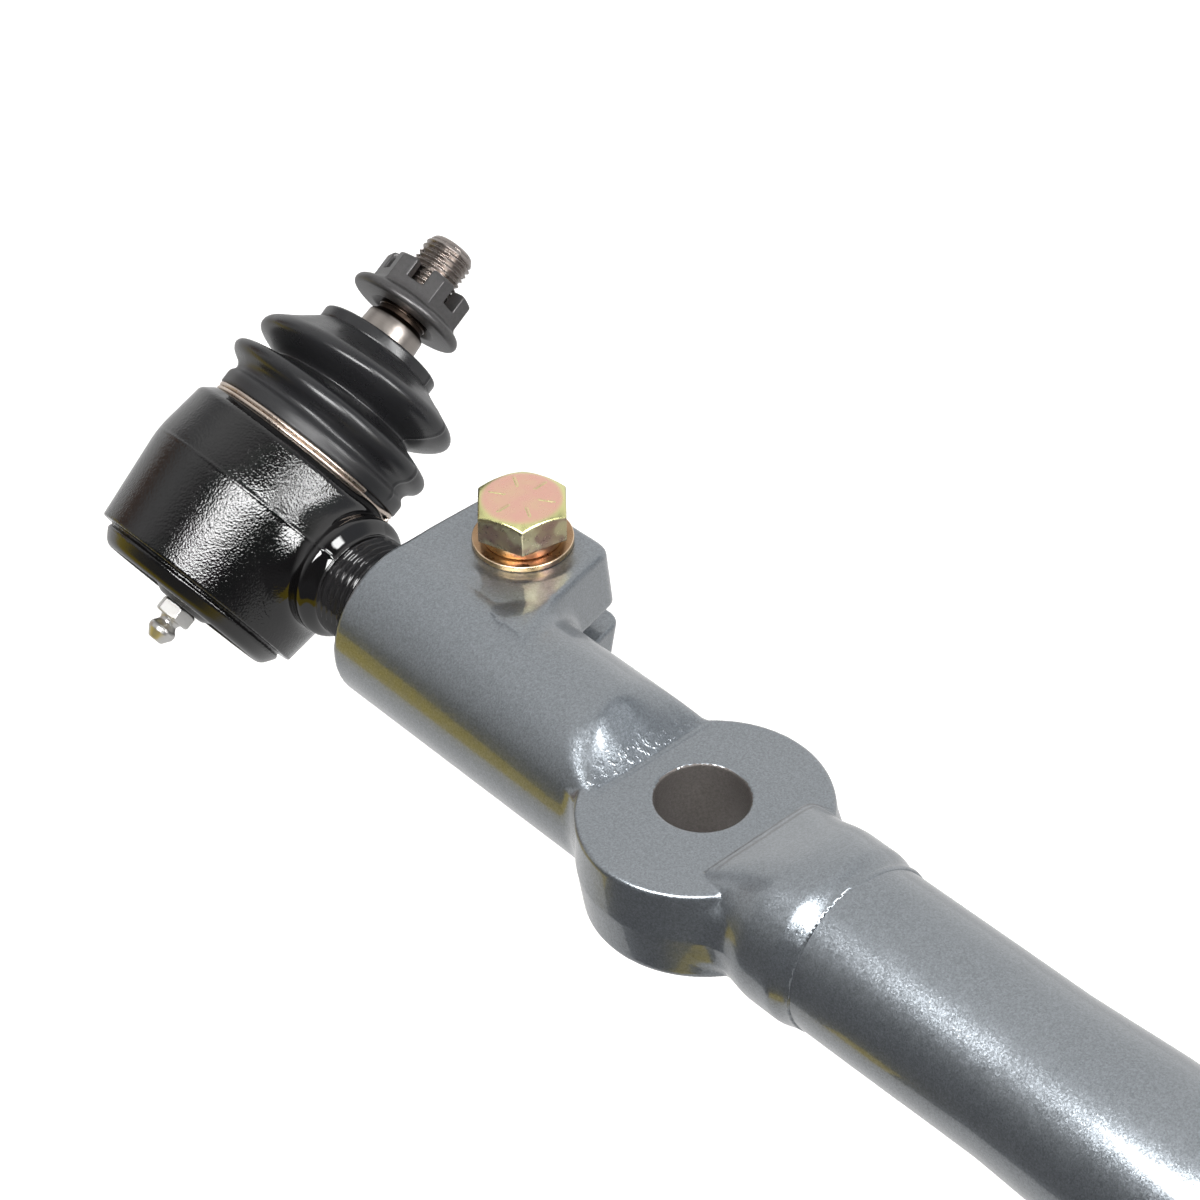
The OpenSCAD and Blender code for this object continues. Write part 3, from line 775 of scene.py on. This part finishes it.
# The check spring inside it, from its seat up to the ball
angle = np.linspace(0, 6 * TAU, 145)
coil = np.stack([0.8 * np.cos(angle), 0.8 * np.sin(angle), np.linspace(2.56, 6.06, len(angle))], 1)
check = piece("check_spring", sweep(coil, 0.19, 8), SPRING, "socket", ["grease_check_spring"],
              rot=NIPPLE, at=NIPPLE_AT)
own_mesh(check)


# ---- Boot ----

def boot_outline():
    """Outside of the boot from its foot to its collar, as (r, h)."""
    marks = np.array([
        (24.0, 18.25), (25.2, 18.3), (25.35, 19.5), (25.3, 21.2), (24.4, 22.6),              # foot
        (25.0, 24.0), (26.9, 25.4), (27.6, 26.9), (27.0, 28.2), (25.0, 29.0), (21.5, 30.0),  # lower fold
        (19.0, 31.0), (19.2, 31.9),                                                          # valley
        (21.6, 33.1), (24.2, 34.6), (25.8, 36.0), (26.1, 37.4), (25.3, 38.8), (23.2, 40.2),  # upper fold
        (19.6, 42.5), (15.8, 45.2), (14.6, 46.0)                                             # collar
    ])
    out = []
    for i in range(1, len(marks) - 2):
        p0, p1, p2, p3 = marks[i - 1:i + 3]
        for t in np.arange(0, 1, 0.2):
            out.append(0.5 * (2 * p1 + (p2 - p0) * t + (2 * p0 - 5 * p1 + 4 * p2 - p3) * t ** 2
                              + (3 * p1 - p0 - 3 * p2 + p3) * t ** 3))
    return np.array(out)


RUBBER_T = 1.7              # thickness of the rubber
TIP_TOWARDS = -138          # direction in which the folds tip, in degrees from +X
AGAINST_LEAN = (0.88, -0.474)
outer = boot_outline()
d = np.gradient(outer, axis=0)
d /= np.linalg.norm(d, axis=1)[:, None]
inner = outer + RUBBER_T * np.stack([-d[:, 1], d[:, 0]], 1)
inner[:, 1] = np.minimum(np.maximum.accumulate(inner[:, 1]), 44.5)
foot = soften([(21.6, 16.1, 0.2), (23.7, 16.0, 0.2), (23.9, 18.1, 0.2)], closed=False)
top = soften([(15.5, 45.45, 0.1), (15.6, 45.7, 0.1), (15.65, 48.1, 0.35), (15.1, 48.5, 0.3),
              (14.6, 48.4, 0.3), (9.6, 48.35, 0.3), (9.0, 47.9, 0.3), (8.05, 48.2, 0.2), (8.1, 44.2, 0.3),
              (10.2, 44.1, 0.2), (12.4, 44.3, 0.3)], closed=False)
section = np.vstack([foot, outer, top, inner[::-1]])


def boot_bend(verts, h):
    """The folds lean with the stud, and each tips a little about its own middle."""
    out = np.empty_like(verts)
    levels = [20, 26, 31, 37, 41, 45.5, 50]
    share = np.interp(h, levels, [0, 0.3, 0.75, 1.2, 1.25, 1.1, 1.0])
    aside = np.interp(h, levels, [0, 0.6, 1.4, 2.3, 1.9, 0.4, 0.0])
    tip = np.interp(h, [20, 24, 28, 31, 37, 41, 45.5], [0, -0.7, -0.9, 0.4, 2.3, 1.7, 0.0])
    lift = np.interp(h, [20, 27, 37, 41, 45.5], [0, 0.45, 0.35, 0.2, 0.0])
    low_fold = 0.7 * np.exp(-((h - 27) / 3) ** 2)
    for i, s in enumerate(share):
        mid = np.array([0, 0, h[i]])
        own = turn("Z", TIP_TOWARDS) @ turn("Y", tip[i]) @ turn("Z", -TIP_TOWARDS)
        out[i] = ((verts[i] - mid) @ own.T + mid) @ lean(s).T
        out[i] += (*(aside[i] * np.array(AGAINST_LEAN)), lift[i])
        out[i] += low_fold[i] * np.array([-0.743, -0.669, 0])
    return out


def boot_seam(r, h, th):
    """A thin raised line up each side, where the halves of the mould met."""
    out = r
    for at in (9, 189):
        gap = np.mod(th - math.radians(at) + math.pi, TAU) - math.pi
        out = out + 0.3 * np.exp(-(gap * r / 0.4) ** 2) * smooth((h - 19) / 2) * smooth((48.5 - h) / 1)
    return out


boot = piece("boot", lathe(section, 336, shape=boot_seam, bend=boot_bend), RUBBER, None, ["dust_boot"],
             crease=50, rot=SOCKET, at=BALL)
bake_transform(boot)


# ---- Stud and castle nut ----

STUD_R = 6.35           # outside of the stud's thread
STUD_PITCH = 1.411
PIN_HOLE_H = 72         # the cotter pin's hole, from the ball's centre
PIN_HOLE_R = 1.6


def stud_thread(x, y, z):
    """The stud's threaded end, with the hole for its cotter pin."""
    rr = np.sqrt(x * x + y * y)
    g = np.mod(z / STUD_PITCH - np.arctan2(y, x) / TAU + 0.1, 1)
    cut = np.clip((0.5 - np.abs(g - 0.5)) * 2.4 - 0.1, 0, 1) * 0.72
    s = (rr - STUD_R + cut * smooth((z - 58) / 1.5)) * 0.8
    s = smax(s, (rr - STUD_R) * 0.87 + (z - 75.4) * 0.5, 0.3)
    s = smax(smax(s, z - 77.8, 0.8), 56.6 - z, 0.3)
    t = math.radians(-42)
    from_pin_hole = np.sqrt((x * math.cos(t) + y * math.sin(t)) ** 2 + (z - PIN_HOLE_H) ** 2)
    return smax(s, PIN_HOLE_R - from_pin_hole, 0.35)


piece("stud_end", surface(stud_thread, (-7.5, -7.5, 55.5), (7.5, 7.5, 79), 0.16), THREAD, "stud",
      rot=STUD, at=BALL)
BALL_R = 14
TAPER_R = 8.7           # the cone where it is thickest; it narrows by 1 in 8 across
stem = [(BALL_R * math.cos(t), BALL_R * math.sin(t)) for t in np.radians(np.linspace(-89, 59.7, 60))]
stem += [(7.0, 12.6), (6.95, 14), (7.0, 29), (7.6, 30.6), (TAPER_R, 33), (TAPER_R, 34)]
stem += [(TAPER_R - (h - 33) / 16, h) for h in np.linspace(35, 54.2, 12)]
stem += [(7.2, 54.6), (6.4, 55.2), (6.1, 55.6), (6.1, 57.5)]
piece("stud_stem", capped(stem, 144), TAPER, "stud", ["ball_stud"], rot=STUD, at=BALL)


def nut(x, y, z):
    """A hexagon with a flange, three slots across its top and a recess below."""
    rr = np.sqrt(x * x + y * y)
    six = smax(hexagon(x, y, 20.6), (rr - 10.1) * 0.5 + (z - 68.7) * 0.866, 0.5)
    six = smax(smax(six, z - 68.7, 0.6), 58 - z, 0.4)
    rim = smax(rr - 14.5, (z - 59.4) * 0.94 + (rr - 14.45) * 0.34, 1.3)
    rim = smax(rim, 56.9 - z + 0.05 * (rr - 9), 1.3)
    body = smin(six, rim, 1.2)
    for i in range(3):
        t = math.radians(60 * i + 30)
        off = np.abs(-x * math.sin(t) + y * math.cos(t)) - 2.15
        body = smax(body, -smax(off, 63.8 - z, 0.4), 0.4)
    body = smax(body, 6.45 - rr, 0.4)
    return smax(body, -(rr - 8.4 + 0.9 * (z - 57)) * 0.74, 0.4)


piece("slotted_nut", surface(nut, (-16, -16, 56), (16, 16, 70), 0.3), NUT, "stud", ["castle_nut"],
      rot=STUD @ turn("Z", -36), at=BALL)


# ---- Pieces kept as the frame has them ----

KEPT = {"cover_seal": RUBBER, "grease_check_ball": ZINC, "upper_seat": NYLON, "lower_seat": NYLON,
        "preload_spring": SPRING, "boot_lip_ring": SPRING}
for node, mat in KEPT.items():
    me = frame["nodes"][node].data
    me.materials.clear()
    me.materials.append(mat)


# ---- Stage, light, camera ----

def stage_mesh(name, verts, faces, mat):
    ob = mesh_object(name, verts, faces, mat)
    return ob


def flat(name, corners, z, mat):
    return stage_mesh(name, [(x, y, z) for x, y in corners], [tuple(range(len(corners)))], mat)


def soft_dome(name, radius, mat):
    """A pale surround that only the camera sees."""
    th = np.radians(np.linspace(-90, 90, 25))
    verts, quads = lathe(np.stack([radius * np.cos(th), radius * np.sin(th)], 1), 48, closed=False)
    return stage_mesh(name, verts, quads.tolist(), mat)


def glow(name, colour, power):
    """A plain glowing material."""
    m = bpy.data.materials.new(name)
    m.use_nodes = True
    tree = m.node_tree
    tree.nodes.clear()
    light = add_node(tree, "ShaderNodeEmission", {"Color": colour, "Strength": power})
    add_node(tree, "ShaderNodeOutputMaterial", {"Surface": light.outputs[0]})
    return m


pale = Mat("floor_pale", Roughness=0.9, Base_Color=(0.93, 0.93, 0.93), Emission_Color=(1.0, 1.0, 1.0),
           Emission_Strength=0.3)
floor = flat("floor", [(-6000, -6000), (6000, -6000), (6000, 6000), (-6000, 6000)], -260, pale.mat)
wall = soft_dome("backdrop", 5500, glow("backdrop_white", (1, 1, 1), 1.0))
for ob in (floor, wall):
    ob.visible_glossy = ob.visible_diffuse = ob.visible_shadow = False

# Flat cards under the part, which the camera sees only as reflections in it
WHITE_CARD = [(-700, -68), (-40, -76), (18, -47), (46, -48), (80, -58), (115, -78), (700, -230), (700, 800),
              (-700, 800)]
OLIVE_CARD = [(-700, -60), (-42, -70), (-42, -92), (-155, -155), (-215, -200), (-700, -290)]
OLIVE_PATCH = [(26, -40), (46, -40), (46, -62), (28, -60)]
OLIVE = (0.62, 0.47, 0.03)
card = flat("white_card", WHITE_CARD, -46, glow("card_white", (1, 1, 1), 0.72))
strip = flat("olive_card", OLIVE_CARD, -46.5, glow("card_olive", OLIVE, 1.15))
patch = flat("olive_patch", OLIVE_PATCH, -46.5, glow("patch_olive", OLIVE, 1.15))
for ob in (card, strip, patch):
    ob.visible_camera = ob.visible_shadow = False


def softbox(name, at, aim, width, height, level, edge, roll=0.0):
    """A glowing panel that fades towards its edges."""
    m = Mat(name, Base_Color=(0, 0, 0), Specular_IOR_Level=0.0, Emission_Color=(1, 1, 1))
    x, y = width / 2, height / 2
    fade_x = m.steps(m.away(m.axis((1, 0, 0)), 0.0), x, x * (1 - edge))
    fade_y = m.steps(m.away(m.axis((0, 1, 0)), 0.0), y, y * (1 - edge))
    m.set("Emission Strength", m.times(fade_x, fade_y, level))
    ob = stage_mesh(name, [(-x, -y, 0), (x, -y, 0), (x, y, 0), (-x, y, 0)], [(0, 1, 2, 3)], m.mat)
    look = (Vector(at) - Vector(aim)).to_track_quat("Z", "Y").to_matrix()
    pose = (look @ Matrix.Rotation(math.radians(roll), 3, "Z")).to_4x4()
    pose.translation = Vector(at) * MM
    ob.matrix_world = pose
    ob.visible_camera = ob.visible_shadow = False


softbox("key_left", (97, -260, 364), aim=(0, 0, 0), width=455, height=165, level=23.0, edge=0.36, roll=8)
softbox("key_right", (390, 50, 352), aim=(-130, 0, 15), width=205, height=470, level=18.0, edge=0.45)

world = bpy.data.worlds.new("studio")
bpy.context.scene.world = world
world.use_nodes = True
tree = world.node_tree
ray = add_node(tree, "ShaderNodeTexCoord").outputs["Generated"]


def facing(az, el):
    """How nearly a ray points at an azimuth and elevation, in degrees."""
    a, e = math.radians(az), math.radians(el)
    v = (math.cos(a) * math.cos(e), math.sin(a) * math.cos(e), math.sin(e))
    return add_node(tree, "ShaderNodeVectorMath", {0: ray, 1: v}, operation="DOT_PRODUCT").outputs["Value"]


# Patches of light and dark in the room: where each lies, where it starts and is full, and its colour
PATCHES = (
    (-50, 0, 0.1, 0.55, (0.06, 0.06, 0.065)),
    (-110, -90, -0.2, 0.1, (0.13, 0.13, 0.14)),
    (138, 10, 0.02, 0.45, (0.96, 0.96, 0.96)),
    (47, 45, 0.8, 0.97, (0.42, 0.44, 0.47)),
    (-167, 22, 0.92, 0.975, (0.5, 0.5, 0.51)),
    (-163, 8, 0.965, 0.99, (0.28, 0.165, 0.11)),
)
room = (0.62, 0.62, 0.62)
for az, el, start, full, colour in PATCHES:
    room = mix_colours(tree, smooth_range(tree, facing(az, el), start, full), room, colour)
tree.links.new(room, tree.nodes["Background"].inputs["Color"])

bpy.context.scene.view_settings.view_transform = "Standard"

cam = bpy.data.cameras.new("camera")
cam.sensor_width = 36
cam.lens = 103.63
cam.clip_start = 0.01
eye = bpy.data.objects.new("camera", cam)
# The picture's right and up, and the way from the part to the camera
side, up, away = (0.6757, 0.7371, -0.007), (-0.467, 0.4354, 0.7697), (0.5704, -0.5168, 0.6384)
pose = Matrix([[*r] for r in zip(side, up, away)]).to_4x4()
pose.translation = Vector((370.88, -363.88, 493.92)) * MM
eye.matrix_world = pose
bpy.context.scene.collection.objects.link(eye)
bpy.context.scene.camera = eye
